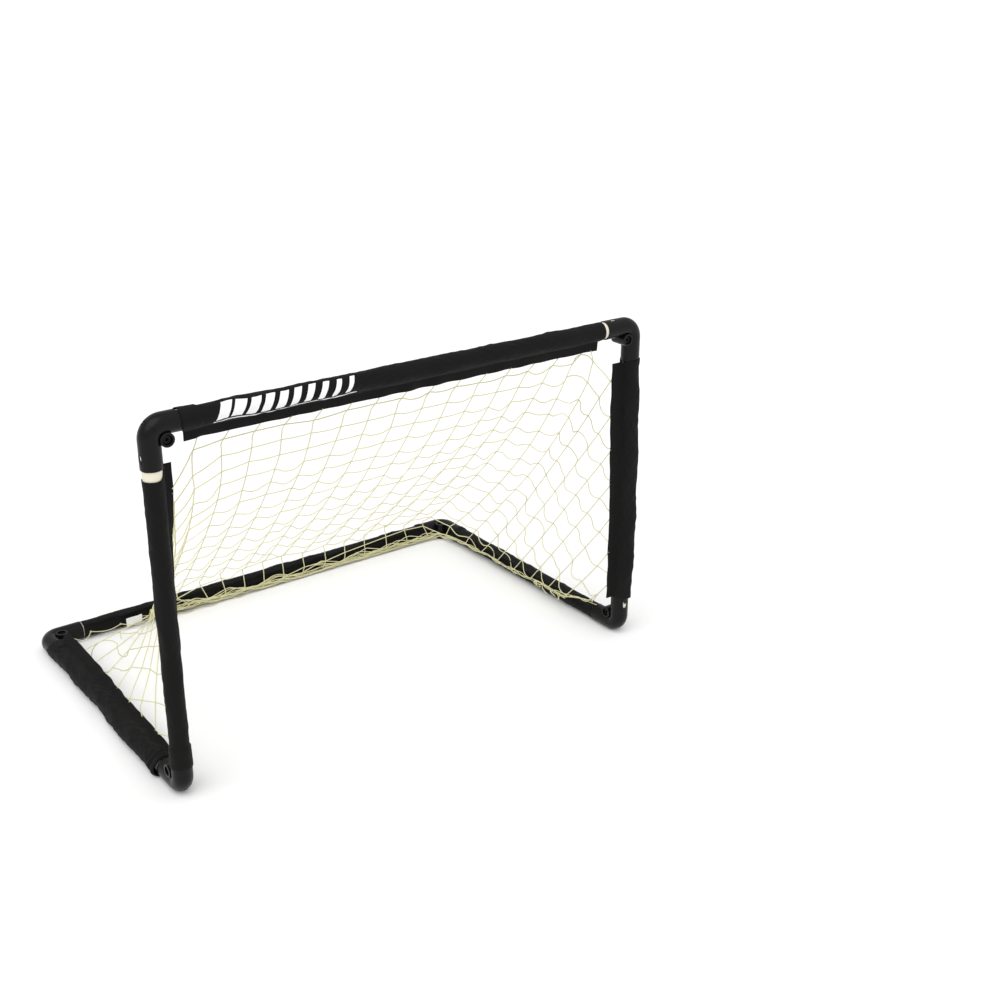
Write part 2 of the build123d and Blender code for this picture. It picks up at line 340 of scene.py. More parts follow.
class Twine:
    """Collects runs of round twine into one mesh."""

    def __init__(self, radius, sides=6):
        self.radius, self.sides = radius, sides
        self.points, self.faces, self.uvs, self.count = [], [], [], 0

    def run(self, path, closed=False, radius=None):
        radius = radius or self.radius
        path = np.asarray(path, float)
        if closed:
            tangent = np.roll(path, -1, 0) - np.roll(path, 1, 0)
        else:
            tangent = np.gradient(path, axis=0)
        tangent /= np.linalg.norm(tangent, axis=1)[:, None] + 1e-12
        side = np.cross(tangent[0], (0.31, 0.52, 0.8))
        sides = []
        for t in tangent:                       # carried along, so that the tube doesn't twist
            side = side - t * side.dot(t)
            side /= np.linalg.norm(side)
            sides.append(side)
        sides = np.array(sides)
        others = np.cross(tangent, sides)
        turn = np.arange(self.sides) / self.sides * tau
        ring = sides[:, None] * np.cos(turn)[None, :, None] + others[:, None] * np.sin(turn)[None, :, None]
        points = path[:, None] + ring * radius
        if closed:
            points = np.concatenate([points, points[:1]])
            path = np.concatenate([path, path[:1]])
        rows = len(points)
        along = np.concatenate([[0], np.cumsum(np.linalg.norm(np.diff(path, axis=0), axis=1))])
        u, v = np.meshgrid(np.arange(self.sides + 1) / self.sides, along)
        self.points.append(points.reshape(-1, 3))
        self.faces.append(grid_faces(rows, self.sides, True, self.count))
        self.uvs.append(grid_uvs(u, v, True))
        self.count += rows * self.sides

    def piece(self, name, material, body, slot):
        return mesh_piece(name, np.concatenate(self.points), np.concatenate(self.faces),
                          np.concatenate(self.uvs), material, body)


def resampled(path, per_step=2):
    """A Catmull-Rom curve through the points."""
    path = np.asarray(path, float)
    if len(path) < 3:
        return path
    before = np.concatenate([[2 * path[0] - path[1]], path, [2 * path[-1] - path[-2]]])
    a, b, c, d = before[:-3], before[1:-2], before[2:-1], before[3:]
    out = []
    for t in np.arange(per_step) / per_step:
        out.append(0.5 * (2 * b + (c - a) * t + (2 * a - 5 * b + 4 * c - d) * t * t
                          + (3 * b - a - 3 * c + d) * t ** 3))
    curve = np.stack(out, 1).reshape(-1, 3)
    return np.concatenate([curve, path[-1:]])


# ---------------- fabric sleeves

CLOTH = 0.0005                # thickness
SLACK_R = TUBE_R + 0.0018     # outside of a loose sleeve on a tube
TIGHT_R = TUBE_R + 0.0008
CUFF_R = CORNER_R + 0.0009    # outside of a sleeve pulled over a corner
CUFF_FROM, CUFF_OVER = 0.003, 0.012    # before a socket's mouth a cuff starts to narrow, over this far
CLEAR = 0.00015               # least gap between cloth and tube
HEM = 0.011
HEM_EDGE, STITCH_HALF = 0.001, 0.0009  # widths of the hem's step and of its seam
HEM_CALM = 0.03               # wrinkles are smaller this near an end
HEM_STEP = 0.00035            # how much thicker the turned hem is
STITCH_DIP = 0.0003           # of the seam at the hem's edge
FIN_HALF = 0.0008             # half of the fin's thickness
FIN_NOSE = 0.0004             # rounding of its edge
FIN_ROOT = 0.0035             # from the tube part to where the fin's layers meet
FIN_LEAVES = radians(30)      # where the cloth leaves the tube for the fin, from the fin's middle
STITCH_IN = 0.0006            # the net is sewn this far inside the fin's edge
PULL_EVERY = 0.0535           # the net pulls the fin out, once each time this far along
FIN_DRIFT, FIN_RIPPLE = 0.0005, 0.0003 # uneven width of the fin, slow and fast
FIN_SWAY, FIN_FLUTTER = 0.0006, 0.0004 # its sideways bends, slow and fast
ROOT_BLEND = 0.003            # over which the tube part's wrinkles fade towards the fin
RUMPLE_LENGTH = 0.035         # over which a pushed-back end settles
BULGE_SPREAD = 0.62           # half width of slack cloth round the tube, in radians
STATION = 0.003               # distance between two rings of points


def profile(stations, share):
    """A value along a bar, from (share of the bar, value) pairs."""
    shares, values = zip(*stations)
    return np.interp(share, shares, values)


class Waves:
    """A seeded sum of sine waves over a sleeve, along it and round it."""

    def __init__(self, seed, along, round_it, count):
        rng = np.random.default_rng(seed)
        self.along = rng.uniform(*along, count) * rng.choice([-1, 1], count)
        self.round = rng.integers(round_it[0], round_it[1] + 1, count)
        self.phase = rng.uniform(0, tau, count)
        self.size = 1 / np.sqrt(count / 2)

    def at(self, s, angle):
        total = 0
        for k, m, p in zip(self.along, self.round, self.phase):
            total = total + np.sin(tau * k * s + m * angle + p)
        return total * self.size


def outline(radius, fin):
    """Half of a sleeve's section: from the fin's tip, down the fin and round to the far side.
    Returns points (x towards the fin, y sideways) for radius and fin widths of shape (rows, 1)."""
    leave = FIN_LEAVES
    k = (radius * sin(leave) - FIN_HALF) / cos(leave)
    corner_x = radius * cos(leave) + k * sin(leave)
    base_x = radius + FIN_ROOT
    x, y = [radius + fin], [0 * fin]
    for t in np.linspace(0, 1, 8):              # down the fin
        x.append((radius + fin - FIN_NOSE) * (1 - t) + base_x * t)
        y.append(FIN_HALF * (0.65 + 0.35 * t) + 0 * fin)
    for t in np.linspace(0, 1, 6)[1:]:          # the fillet where the layers part
        x.append(base_x * (1 - t) ** 2 + corner_x * 2 * t * (1 - t) + radius * cos(leave) * t * t)
        y.append(FIN_HALF * (1 - t * t) + radius * sin(leave) * t * t)
    for a in np.linspace(leave, pi, 20)[1:]:
        x.append(radius * cos(a))
        y.append(radius * sin(a))
    return np.concatenate(x, 1), np.concatenate(y, 1)


class Sleeve:
    """A fabric sleeve with a sewn fin, along one bar between two corners.

    reach: how far from each corner it starts. slant: how much further it reaches at the fin.
    radius, fin, lean, bulge: outside radius, fin width, turn of the fin in degrees and slack
    cloth bulge_at degrees round from the fin, each as (share of the bar, value) pairs. cuff: how
    far each end is stretched over its corner. wrinkle: height of the creases. rumple: height of
    the folds where the first end is pushed back."""

    def __init__(self, bar, body, first, last, fin_way, reach, fin, radius, slant=(0, 0),
                 lean=((0, 0), (1, 0)), cuff=(0, 0), bulge=((0, 0), (1, 0)), bulge_at=137,
                 wrinkle=0.0007, rumple=0, seed=1, printed=False):
        self.start, self.end = CORNERS[first], CORNERS[last]
        self.span = (self.end - self.start).length
        self.along = np.array((self.end - self.start).normalized())
        self.fin_way = np.array(fin_way.normalized())
        self.across = np.cross(self.along, self.fin_way)
        self.reach, self.slant, self.cuff = reach, slant, cuff
        self.fin, self.radius, self.lean = fin, radius, lean
        self.bulge, self.bulge_at = bulge, radians(bulge_at)
        self.wrinkle, self.rumple = wrinkle, rumple
        self.bar, self.body, self.printed = bar, body, printed
        self.creases = Waves(seed, (2, 16), (1, 4), 26)
        self.small = Waves(seed + 50, (12, 60), (2, 9), 30)
        self.folds = Waves(seed + 90, (55, 120), (0, 2), 10)
        self.drift = Waves(seed + 130, (0.6, 3.5), (0, 0), 6)
        self.edge = Waves(seed + 170, (7, 24), (0, 0), 8)

    def shape(self, s):
        """Fin width and the fin's turn at the distances s from the first corner."""
        fin = profile(self.fin, s / self.span)
        fin = fin + FIN_DRIFT * self.drift.at(s, 0) + FIN_RIPPLE * self.edge.at(s, 0)
        fin = fin + FIN_RIPPLE * np.cos(tau * (s - self.reach[0]) / PULL_EVERY)
        return fin, np.radians(profile(self.lean, s / self.span) + 1.5 * self.drift.at(s, 1.0))

    def frame_at(self, lean):
        fin = np.cos(lean)[..., None] * self.fin_way + np.sin(lean)[..., None] * self.across
        return fin, np.cross(np.broadcast_to(self.along, fin.shape), fin)

    def tip(self, s, inside=0.0):
        """The middle of the fin's edge at distance s from the first corner."""
        s = np.atleast_1d(float(s))
        fin, lean = self.shape(s)
        way = self.frame_at(lean)[0][0]
        out = profile(self.radius, s / self.span) + fin - STITCH_IN - inside
        return np.array(self.start) + s * self.along + way * out

    def build(self):
        a, b = self.reach[0], self.span - self.reach[1]
        rows = int((b - a) / STATION)
        s = np.linspace(a, b, rows)[:, None]
        share = (s - a) / (b - a)
        fin, lean = self.shape(s)
        ends = np.minimum(s - a, b - s)
        tight = np.maximum(self.cuff[0] * (1 - smooth((s - ARM + CUFF_FROM) / CUFF_OVER)),
                           self.cuff[1] * (1 - smooth((self.span - s - ARM + CUFF_FROM) / CUFF_OVER)))
        radius = profile(self.radius, s / self.span)
        radius = radius + (CUFF_R - radius) * tight
        hem = smooth((HEM - ends) / HEM_EDGE) * HEM_STEP
        hem = hem - np.exp(-((ends - HEM) / STITCH_HALF) ** 2) * STITCH_DIP
        x, y = outline(radius, fin)
        x = np.concatenate([x, x[:, -2:0:-1]], 1)
        y = np.concatenate([y, -y[:, -2:0:-1]], 1)
        angle, far = np.arctan2(y, x), np.hypot(x, y)
        on_tube = smooth((radius + ROOT_BLEND - far) / ROOT_BLEND)
        # the hem slants near the fin
        pull = ((1 + np.cos(angle)) / 2) ** 8
        s_here = s + pull * (self.slant[1] * share ** 6 - self.slant[0] * (1 - share) ** 6)
        quiet = smooth(ends / HEM_CALM) * 0.75 + 0.25
        lift = self.wrinkle * quiet * (self.creases.at(s_here, angle) + 0.45 * self.small.at(s_here, angle))
        rumpled = self.rumple * np.exp(-((s - a) / RUMPLE_LENGTH) ** 2)
        lift = lift * (1 - 0.75 * tight) + rumpled * (0.55 + 0.6 * self.folds.at(s_here, angle))
        off = np.angle(np.exp(1j * (angle - self.bulge_at - 0.25 * self.drift.at(s, 2.0))))
        lift = lift + profile(self.bulge, s / self.span) * np.exp(-(off / BULGE_SPREAD) ** 2)
        least = np.where(tight > 0.02, CORNER_R, TUBE_R) + CLOTH + CLEAR
        lift = np.maximum(radius + lift, least) - radius + hem
        x = x + on_tube * lift * np.cos(angle)
        y = y + on_tube * lift * np.sin(angle)
        # the fin sways as one
        out = np.clip((far - radius) / np.maximum(fin, 0.004), 0, 1) * (1 - on_tube)
        y = y + out * (FIN_SWAY * self.edge.at(s, 2.0) + FIN_FLUTTER * self.small.at(s * 0.4, 0))
        way, side = self.frame_at(lean)
        points = (np.array(self.start) + s_here[..., None] * self.along
                  + x[..., None] * way + y[..., None] * side)
        step = np.hypot(np.diff(x, axis=1, append=x[:, :1]), np.diff(y, axis=1, append=y[:, :1]))
        around = np.concatenate([np.zeros((rows, 1)), np.cumsum(step, 1)], 1)
        girth = around[:, -1:]
        v = np.concatenate([s_here, s_here[:, :1]], 1)
        piece = mesh_piece(self.bar + "_fabric", points.reshape(-1, 3), grid_faces(rows, x.shape[1], True),
                           grid_uvs(around - girth, v, True), SLEEVE_MATERIALS[self.printed],
                           self.body)
        solid = piece.modifiers.new("cloth", "SOLIDIFY")
        solid.thickness, solid.offset = CLOTH, -1
        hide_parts(self.bar + "_sleeve")


NYLON = 0.0055                # its brightness
SLEEVE_MATERIALS = {False: woven("woven_nylon", NYLON), True: woven("woven_nylon_printed", NYLON, stripes)}

SLEEVES = {
    "crossbar": Sleeve("crossbar", "front_frame", "top_left", "top_right", -UP,
                       reach=(0.042, 0.069), slant=(-0.008, -0.004), cuff=(1, 0),
                       radius=((0, TUBE_R + 0.0012), (1, TUBE_R + 0.0012)),
                       fin=((0, 0.0170), (0.5, 0.0172), (1, 0.0180)),
                       lean=((0, 6), (1, 6)), wrinkle=0.0005, seed=11, printed=True),
    "left_post": Sleeve("left_post", "front_frame", "front_left", "top_left", RIGHT,
                        reach=(0.035, 0.076), slant=(0.002, 0.018), cuff=(1, 0),
                        radius=((0, TIGHT_R), (0.8, TIGHT_R), (1, SLACK_R)),
                        fin=((0, 0.0085), (1, 0.0150)),
                        lean=((0, 34), (0.57, 31), (0.69, 26), (0.73, 14), (0.77, 8), (0.82, 2), (1, 0)),
                        wrinkle=0.0005, seed=22),
    "right_post": Sleeve("right_post", "front_frame", "front_right", "top_right", -RIGHT,
                         reach=(0.058, 0.058), slant=(-0.003, -0.004), cuff=(0, 0.6),
                         radius=((0, SLACK_R), (1, SLACK_R)),
                         fin=((0, 0.0165), (0.4, 0.0180), (0.75, 0.0245), (1, 0.0225)),
                         bulge=((0, 0.004), (0.12, 0.005), (0.3, 0.0070), (0.6, 0.0065), (0.85, 0.0012),
                                (1, 0)),
                         seed=33),
    "left_side_bar": Sleeve("left_side_bar", "base", "front_left", "rear_left", RIGHT + UP,
                            reach=(0.062, 0.045), slant=(0, 0.002), cuff=(0, 1),
                            radius=((0, SLACK_R), (1, SLACK_R)),
                            fin=((0, 0.006), (0.2, 0.010), (0.6, 0.0165), (1, 0.0200)),
                            bulge=((0, 0.004), (0.2, 0.0055), (0.4, 0.0045), (0.6, 0)), bulge_at=-158,
                            rumple=0.0024, wrinkle=0.0008, seed=44),
    "right_side_bar": Sleeve("right_side_bar", "base", "front_right", "rear_right", -RIGHT + UP,
                             reach=(0.061, 0.058), cuff=(0, 0.5),
                             radius=((0, TIGHT_R), (1, TIGHT_R)),
                             fin=((0, 0.009), (1, 0.009)), wrinkle=0.0007, seed=55),
    "rear_bar": Sleeve("rear_bar", "base", "rear_left", "rear_right", -BACK + UP,
                       reach=(0.0632, 0.058), cuff=(0, 0.5),
                       radius=((0, TIGHT_R), (1, TIGHT_R)),
                       fin=((0, 0.010), (1, 0.010)), wrinkle=0.0006, seed=66),
}
for sleeve in SLEEVES.values():
    sleeve.build()


# ---------------- the net

MESH = 0.0495                 # from knot to knot
PARTS = 4                     # pieces of string between two knots
TWINE_R = 0.0009
HALF_TOP = 0.3975             # half of the net's width along the crossbar
# the other corners of the flat net, across and down from the middle of the crossbar
RIGHT_WING = np.array([0.7305, 0.361])      # at the foot of the right post
RIGHT_HEEL = np.array([0.300, 0.763])       # at the rear right corner
BUNCHED = np.array([-0.428, 0.698])         # in the bunch
LEFT_HEEL = np.array([-0.588, 0.766])       # at the back of the left side bar
LEFT_WING = np.array([-0.746, 0.356])       # at the foot of the left post
UNEVEN = 0.0020               # scatter of the knots in the flat net
DRAWN = 0.065                 # how far the lower edge is drawn to the bunch, as a share of its length
LOWEST = 0.06                 # height of the cells that lie on the rear bar
LOWEST_TIGHT = 0.92           # their strings' length, as a share of the flat length
RIGHT_TIGHT = 0.068           # how much shorter the strings of the right side are
RIGHT_FROM = 0.36             # across the flat net, where that starts
FIRST_KNOT = (-0.377, 0.025)
LINE_GAP, KNOT_GAP = 0.006, 0.005      # no grid line and no knot nearer to the outline than this
SEWN_ASIDE = 0.014            # the net is sewn to the crossbar this much to the right
SEWN_FROM, SEWN_TO = 0.011, 0.017      # but no nearer to the ends of its sleeve than this
FIN_GRIP = 0.0015             # twine ends inside the fin
BUNCH_RADIUS = 0.055          # of flat net that is tied into the bunch
BUNCH_ABOVE = 0.03            # the middle of that part, above the lower edge
BUNCH_SCATTER, START_SCATTER = 0.0035, 0.0015
STEPS, PULLS = 500, 10        # steps of the fall, and rounds of pulling in each
BEND_LEAST, BAR_LEAST = 0.95, 0.97     # shortest that two bars or one may get, as shares
SINK = 1.5e-5                 # gain of fall in each step
CALM = 0.96                   # share of the speed that is kept
FLOOR_GAP = 0.0015            # lowest place of a string's middle
BAR_GAP = 0.0008              # from a sleeve to a string's middle
LEAN_EDGE, LEAN_FADE = 0.402, 0.05     # across, where the lean ends, and over which it fades
WIND = 0.025                  # how far the middle of the net leans to the right
TOP_LEAN = 0.013              # how far the part below the crossbar leans to the left
KNOT_R, KNOT_TWINE_R = 0.00082, 0.00052

# the gathered edge lies against the front of the rear bar, below its middle
GATHER_Y = REAR - TIGHT_R - 0.0062
GATHER_Z = BOTTOM - 0.0075
BUNCH = np.array([middle("net_tie").x, GATHER_Y + 0.002, BOTTOM + 0.001])
GATHER_PER_STEP = 24
REAR_RIGHT_STEP = 5                         # the point of the edge at the rear right corner
GATHER = resampled([                        # from the front of the right side bar to the bunch
    (SIDE - 0.003, HINGE.y + 0.036, BOTTOM + 0.0188),
    (SIDE - 0.0185, HINGE.y + 0.076, BOTTOM + 0.0192),
    (SIDE - 0.0205, HINGE.y + 0.125, BOTTOM + 0.010),
    (SIDE - 0.0200, HINGE.y + 0.215, BOTTOM + 0.005),
    (SIDE - 0.0195, GATHER_Y - 0.090, BOTTOM - 0.001),
    (SIDE - 0.0270, GATHER_Y - 0.016, BOTTOM - 0.006),
    (SIDE - 0.0600, GATHER_Y - 0.001, GATHER_Z),
    (SIDE - 0.2500, GATHER_Y, GATHER_Z),
    (0, GATHER_Y, GATHER_Z),
    (BUNCH[0] / 2, GATHER_Y, GATHER_Z + 0.002),
    tuple(BUNCH),
], GATHER_PER_STEP)
GATHER_AT = np.concatenate([[0], np.cumsum(np.linalg.norm(np.diff(GATHER, axis=0), axis=1))])
GATHER_CORNER = GATHER_AT[REAR_RIGHT_STEP * GATHER_PER_STEP]


def gathered(distance):
    """The place on the gathered edge at a distance along it."""
    return np.array([np.interp(distance, GATHER_AT, GATHER[:, k]) for k in range(3)])


def held_by(name, start, end):
    """A side of the net sewn into a sleeve's fin, between two distances along it."""
    return lambda t: SLEEVES[name].tip(start + (end - start) * t, FIN_GRIP)


def held_by_rear_bar(t):
    """The lower edge, drawn along towards the bunch, most in its middle."""
    drawn = t + DRAWN * sin(pi * t)
    return gathered(GATHER_CORNER + (GATHER_AT[-1] - GATHER_CORNER) * drawn)


def held_by_crossbar(t):
    sleeve = SLEEVES["crossbar"]
    s = SIDE + HALF_TOP * (2 * t - 1) + SEWN_ASIDE
    s = np.clip(s, sleeve.reach[0] + SEWN_FROM, sleeve.span - sleeve.reach[1] - SEWN_TO)
    return sleeve.tip(s, FIN_GRIP)


def net_sides():
    """The seven sides of the flat net, as (from, to, where a point of it is held)."""
    top_left, top_right = np.array([-HALF_TOP, 0]), np.array([HALF_TOP, 0])
    return [
        (top_left, top_right, held_by_crossbar),
        (top_right, RIGHT_WING, held_by("right_post", 0.504, 0.064)),
        (RIGHT_WING, RIGHT_HEEL, lambda t: gathered(GATHER_CORNER * t)),
        (RIGHT_HEEL, BUNCHED, held_by_rear_bar),
        (BUNCHED, LEFT_HEEL, None),
        (LEFT_HEEL, LEFT_WING, held_by("left_side_bar", 0.499, 0.070)),
        (LEFT_WING, top_left, held_by("left_post", 0.044, 0.503)),
    ]


def crossings(sides, axis, value):
    """Where the grid line at value of that coordinate enters and leaves the flat net."""
    found = []
    for start, end, held in sides:
        a, b = start[axis] - value, end[axis] - value
        if (a < 0) != (b < 0):
            t = a / (a - b)
            found.append((start[1 - axis] + (end[1 - axis] - start[1 - axis]) * t, held, t))
    found.sort(key=lambda x: x[0])
    return found[0], found[-1]


def flat_to_space(sides):
    """A first guess of where each point of the flat net hangs."""
    flat = [s[0] for s in sides]
    space = [s[2](0.0) if s[2] else BUNCH for s in sides]
    triangles = [(0, 1, 3), (0, 3, 4), (1, 2, 3), (0, 4, 6), (4, 5, 6)]

    def at(point):
        best = None
        for t in triangles:
            a, b, c = (flat[k] for k in t)
            share = np.linalg.solve(np.array([b - a, c - a]).T, np.asarray(point) - a)
            weights = np.array([1 - share.sum(), share[0], share[1]])
            if best is None or weights.min() > best[0].min():
                best = weights, t
        return sum(w * space[k] for w, k in zip(*best))
    return at


class Net:
    """Strings with knots where they cross."""

    def __init__(self):
        self.sides = net_sides()
        self.guess = flat_to_space(self.sides)
        self.flat, self.at, self.held, self.knots = [], [], [], {}
        corners = np.array([s[0] for s in self.sides])
        (left, _), (right, bottom) = corners.min(0), corners.max(0)
        columns = [FIRST_KNOT[0] + MESH * i for i in range(-20, 40)]
        rows = [FIRST_KNOT[1] + MESH * i for i in range(40)]
        columns = [u for u in columns if left + LINE_GAP < u < right - LINE_GAP]
        rows = [v for v in rows if v < bottom - LINE_GAP]
        across = [self.line(1, v, columns) for v in rows]
        down = [self.line(0, u, rows) for u in columns]
        rng = np.random.default_rng(3)
        for i in self.knots.values():
            self.flat[i] = tuple(np.array(self.flat[i]) + rng.normal(0, UNEVEN, 2))
        bunch = BUNCHED - (0, BUNCH_ABOVE)
        for i, point in enumerate(self.flat):
            if np.hypot(*(np.array(point) - bunch)) < BUNCH_RADIUS:
                self.at[i] = BUNCH + rng.normal(0, BUNCH_SCATTER, 3)
                self.held[i] = True
        self.knots = sorted(self.knots.values())
        self.bars, self.bends, self.strands = [], [], []
        for family, lines in enumerate((across, down)):
            for line in lines:
                self.divide(line, family)
        self.at, self.held, self.flat = np.array(self.at), np.array(self.held), np.array(self.flat)
        self.free = ~self.held
        u, v = self.flat.T
        border = np.interp(u, (BUNCHED[0], RIGHT_HEEL[0]), (BUNCHED[1], RIGHT_HEEL[1]))
        between = (u > BUNCHED[0] + LOWEST / 2) & (u < RIGHT_HEEL[0] - LOWEST / 2)
        self.lowest = self.free & (v > border - LOWEST) & between
        self.at[self.free] += rng.normal(0, START_SCATTER, (int(self.free.sum()), 3))

    def add(self, flat, at, held):
        self.flat.append(tuple(flat))
        self.at.append(np.array(at, float))
        self.held.append(held)
        return len(self.flat) - 1

    def line(self, axis, value, crossed):
        """The particles at the ends of a grid line and at its knots."""
        ends = []
        for position, held, t in crossings(self.sides, axis, value):
            flat = (position, value) if axis else (value, position)
            ends.append((position, self.add(flat, held(t) if held else self.guess(flat), bool(held))))
        (a, first), (b, last) = ends
        knots = []
        for c in crossed:
            if a + KNOT_GAP < c < b - KNOT_GAP:
                flat = (c, value) if axis else (value, c)
                key = tuple(round(x, 4) for x in flat)
                if key not in self.knots:
                    self.knots[key] = self.add(flat, self.guess(flat), False)
                knots.append(self.knots[key])
        return [first] + knots + [last]

    def divide(self, line, family):
        """Cuts a line into short bars, with a bend between each two."""
        chain, lengths = [line[0]], []
        for p, q in zip(line, line[1:]):
            here, there = np.array(self.flat[p]), np.array(self.flat[q])
            parts = max(1, round(PARTS * np.linalg.norm(there - here) / MESH))
            for k in range(1, parts + 1):
                t = k / parts
                if k < parts:
                    held = self.held[p] and self.held[q]
                    new = self.add(here * (1 - t) + there * t, self.at[p] * (1 - t) + self.at[q] * t, held)
                else:
                    new = q
                self.bars.append((chain[-1], new, family * 2 + len(lengths) % 2))
                chain.append(new)
                lengths.append(np.linalg.norm(there - here) / parts)
        for k in range(len(chain) - 2):
            self.bends.append((chain[k], chain[k + 2], family * 4 + k % 4))
        self.strands.append(chain)

    def groups(self, links):
        """Links in groups that share no particle, each with its length; the right side and the
        lowest cells are drawn tighter."""
        links = np.array(links)
        i, j, group = links.T
        length = np.linalg.norm(self.flat[i] - self.flat[j], axis=1)
        u = (self.flat[i, 0] + self.flat[j, 0]) / 2
        length = length * (1 - RIGHT_TIGHT * smooth((u - RIGHT_FROM) / 0.08))
        length = length * np.where(self.lowest[i] | self.lowest[j], LOWEST_TIGHT, 1.0)
        return [(i[group == k], j[group == k], length[group == k]) for k in range(group.max() + 1)]

    def pull(self, i, j, limit, sign, share):
        """Moves the ends of bars that are longer (sign 1) or shorter (sign -1) than the limit."""
        way = self.at[j] - self.at[i]
        length = np.linalg.norm(way, axis=1) + 1e-12
        loose_i, loose_j = self.free[i] * 1.0, self.free[j] * 1.0
        move = share * sign * np.maximum(sign * (length - limit), 0) / length
        move = move / np.maximum(loose_i + loose_j, 1e-9)
        self.at[i] += (move * loose_i)[:, None] * way
        self.at[j] -= (move * loose_j)[:, None] * way

    def keep_out(self):
        """Off the floor and the rear and side bars, and the lowest cells behind the gathered edge."""
        free, off = self.free, SLACK_R + BAR_GAP
        self.at[free, 2] = np.maximum(self.at[free, 2], FLOOR_GAP)
        self.at[self.lowest, 1] = np.maximum(self.at[self.lowest, 1], GATHER_Y - 0.005)
        for axis, centre in ((1, REAR), (0, -SIDE), (0, SIDE)):
            away = np.stack([self.at[:, axis] - centre, self.at[:, 2] - BOTTOM], 1)
            far = np.linalg.norm(away, axis=1)
            inside = (far < off) & free
            self.at[inside, axis] = centre + away[inside, 0] / far[inside] * off
            self.at[inside, 2] = BOTTOM + away[inside, 1] / far[inside] * off

    def hang(self):
        """Lets the net fall, while its bars are pulled back towards their length and its bends open."""
        bars, bends = self.groups(self.bars), self.groups(self.bends)
        speed = np.zeros_like(self.at)
        for _ in range(STEPS):
            before = self.at.copy()
            speed *= CALM
            speed[:, 2] -= SINK
            self.at += speed * self.free[:, None]
            for _ in range(PULLS):
                for i, j, length in bends:
                    self.pull(i, j, length * BEND_LEAST, -1, 0.5)
                for i, j, length in bars:
                    self.pull(i, j, length * BAR_LEAST, -1, 0.5)
                for i, j, length in bars:
                    self.pull(i, j, length, 1, 1.0)
            self.keep_out()
            speed = self.at - before
        self.lean_aside()

    def lean_aside(self):
        """The middle leans to the right, most where it is slackest, and the top a little to the left."""
        net_top = SLEEVES["crossbar"].tip(0.4)[2]
        low = np.clip((net_top - self.at[:, 2]) / TOP, 0, 1)
        inward = np.clip((LEAN_EDGE - np.abs(self.at[:, 0])) / LEAN_FADE, 0, 1)
        lean = WIND * np.sin(pi * low ** 0.7) - TOP_LEAN * np.minimum(1, low / 0.045) * (1 - low) ** 2
        self.at[:, 0] += self.free * inward * lean


def knot_path(radius):
    """A trefoil, which is the shape of a drawn-up knot; it lies in X and Y."""
    t = np.arange(18) / 18 * tau
    ring = 1 + 0.42 * np.cos(3 * t)
    return np.stack([ring * np.cos(2 * t), ring * np.sin(2 * t), 0.75 * np.sin(3 * t)], 1) * radius


def tie_knots(net, net_twine):
    """A small knot in the plane of the two strings, at each free knot."""
    ways_at = {}
    for chain in net.strands:
        for before, here, after in zip(chain, chain[1:], chain[2:]):
            ways_at.setdefault(here, []).append(net.at[after] - net.at[before])
    rng = np.random.default_rng(8)
    for here in net.knots:
        ways = ways_at.get(here, [])
        if net.held[here] or len(ways) < 2:
            continue
        a = ways[0] / np.linalg.norm(ways[0])
        n = np.cross(a, ways[1])
        n /= np.linalg.norm(n) + 1e-9
        path = knot_path(KNOT_R * rng.uniform(0.9, 1.15)) @ np.array([a, np.cross(n, a), n])
        net_twine.run(net.at[here] + path, closed=True, radius=KNOT_TWINE_R)


def fold_with_frame(piece):
    """Bakes the piece's transform and reads its points, measured from the hinge."""
    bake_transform(piece)
    points = np.empty(len(piece.data.vertices) * 3)
    piece.data.vertices.foreach_get("co", points)
    points = points.reshape(-1, 3) - np.array(HINGE)


NET_MATERIAL = twine("cream_twine")
net = Net()
net.hang()
net_twine = Twine(TWINE_R)
for chain in net.strands:
    net_twine.run(resampled(net.at[chain]))
tie_knots(net, net_twine)
net_piece = net_twine.piece("goal_net", NET_MATERIAL, None, "net_twine")
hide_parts("net_back", "net_left", "net_right")
fold_with_frame(net_piece)


# ---------------- the gathered edge, its tie and the label

EDGE_STRANDS, WHOLE_STRANDS = 9, 3          # of the gathered edge, and those that run all along it
DIAMOND_ROWS, LOOSE_ENDS, SLACK_LOOPS = 3, 6, 3
CAUGHT_AT = (-0.303, -0.360)                # across, where the edge is caught left of the bunch
TIE_TURNS = 5
TAG_WIDE, TAG_TALL = 0.030, 0.016
UPRIGHT = np.array([(1, 0, 0), (0, 0, 1), (0, 1, 0)])    # turns a knot to face the front


def wandering_strands(rope, rng):
    """Strands that wander about the middle of the edge."""
    distance = np.linspace(0, GATHER_AT[-1], 420)
    centre = gathered(distance).T
    on_rear = smooth((distance - GATHER_CORNER + 0.03) / 0.03)
    near_bunch = 1 - smooth((GATHER_AT[-1] - distance) / 0.05)
    tall = 0.0040 + 0.0018 * on_rear - 0.0010 * near_bunch
    deep = 0.0030 + 0.0010 * near_bunch
    for k in range(EDGE_STRANDS):
        first = int(len(distance) * (0.01 * k if k < WHOLE_STRANDS else rng.uniform(0.22, 0.46)))
        reach = rng.uniform(0.35, 1.0)
        turn = k / EDGE_STRANDS * tau
        for _ in range(5):
            turn = turn + np.sin(distance * tau / rng.uniform(0.05, 0.5) + rng.uniform(0, tau)) * 0.8
        path = centre.copy()
        path[:, 2] += tall * reach * np.sin(turn)
        path[:, 1] -= on_rear * deep * reach * np.cos(turn)
        path[:, 0] -= (1 - on_rear) * deep * reach * np.cos(turn)
        path[:, 2] = np.maximum(path[:, 2], TWINE_R)
        rope.run(path[first:])


